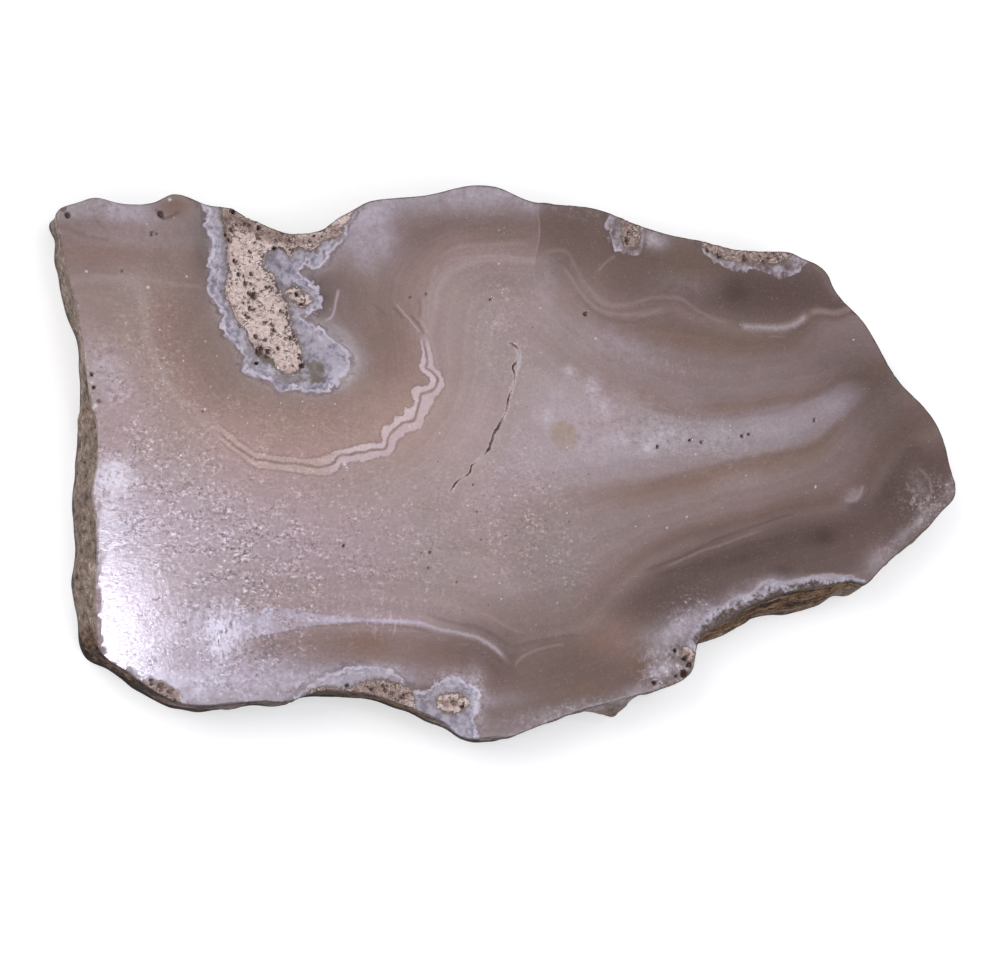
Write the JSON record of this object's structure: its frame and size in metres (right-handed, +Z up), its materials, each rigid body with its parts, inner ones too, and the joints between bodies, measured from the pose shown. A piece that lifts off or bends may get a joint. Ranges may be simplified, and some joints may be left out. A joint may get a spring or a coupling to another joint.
{
  "type": "agate slice",
  "caption": "Flat slab of banded agate, sawn on both faces, with natural rind on its wavy wall, a porous pocket near one edge and a fine open crack.",
  "frame": {"origin": "under the middle of the slab's box, on the surface it lies on", "axes": "+X along the longest side, +Z up out of the ground face, through the thickness"},
  "size_m": [0.1154, 0.0686, 0.007],
  "materials": {
    "stone": "sawn and lightly ground, with rough rind on the wall"
  },
  "bodies": {
    "root": {"agate_slice": "stone"}
  },
  "joints": []
}
